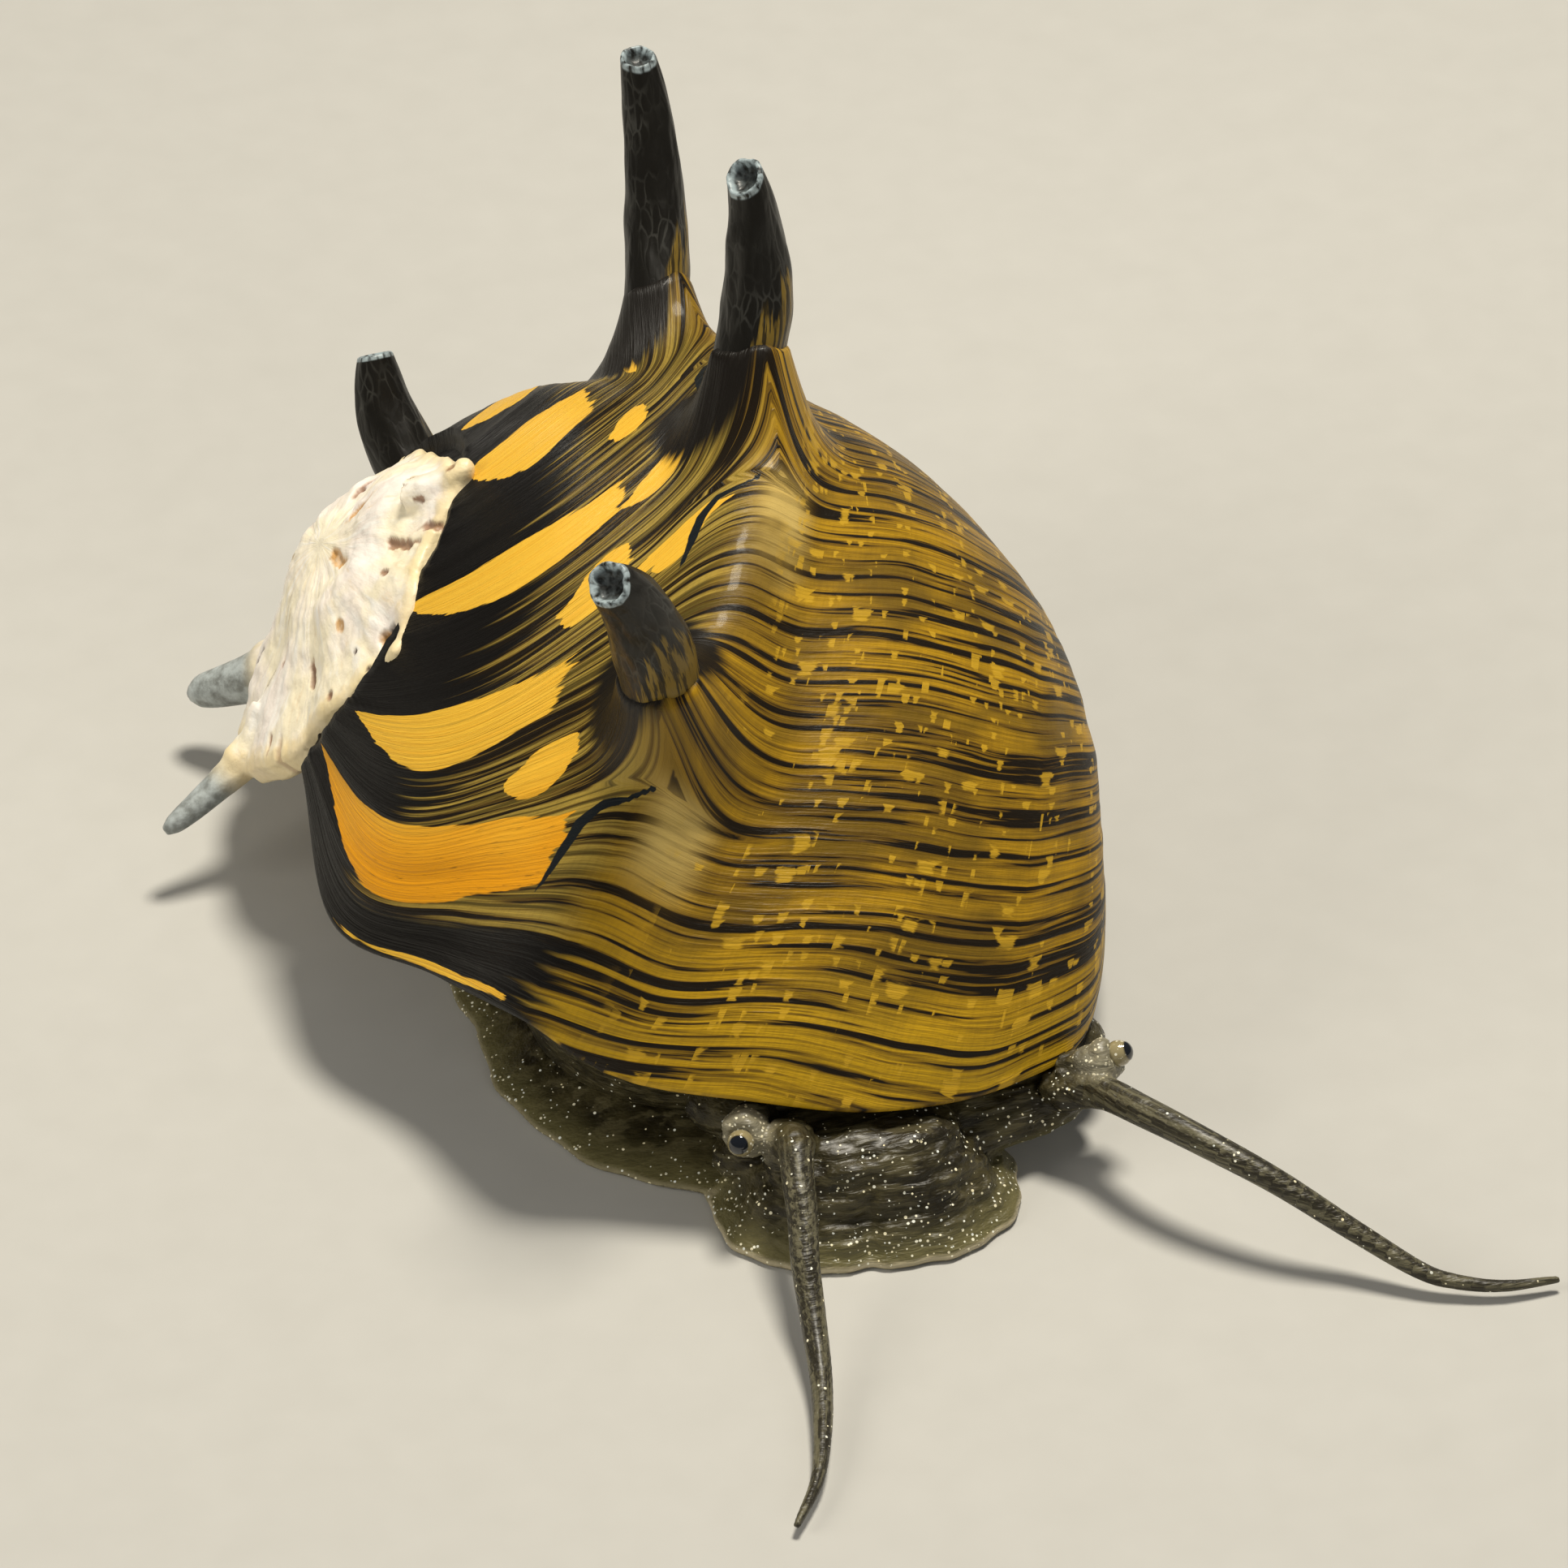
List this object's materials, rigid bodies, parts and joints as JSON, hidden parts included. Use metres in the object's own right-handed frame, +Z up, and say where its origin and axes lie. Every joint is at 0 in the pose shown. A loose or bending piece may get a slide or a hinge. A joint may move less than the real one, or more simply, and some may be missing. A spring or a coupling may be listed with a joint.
{
  "type": "horned nerite snail",
  "caption": "Life-size still model of a horned nerite snail crawling, with a rounded banded shell, blunt hollow horns and long feelers.",
  "frame": {"origin": "middle of the bounding box's base, on the floor under the snail", "axes": "+Z up from the floor, the snail faces -Y and its right side is -X"},
  "size_m": [0.0262, 0.0344, 0.0182],
  "materials": {
    "shell": "glossy",
    "worn_shell": "matte",
    "horn": "satin",
    "flesh": "satin",
    "eye": "glossy",
    "operculum": "satin"
  },
  "bodies": {
    "root": {"shell_body_whorl": "shell", "shell_spire": "worn_shell", "horn_1": "horn", "horn_2": "horn", "horn_3": "horn", "horn_4": "horn", "mantle": "flesh", "head": "flesh", "foot": "flesh", "operculum": "operculum", "feeler_right_base": "flesh", "feeler_right_middle": "flesh", "feeler_right_tip": "flesh", "feeler_left_base": "flesh", "feeler_left_middle": "flesh", "feeler_left_tip": "flesh", "eye_stalk_right": "flesh", "eye_stalk_left": "flesh", "eye_right": "eye", "eye_left": "eye"}
  },
  "joints": []
}
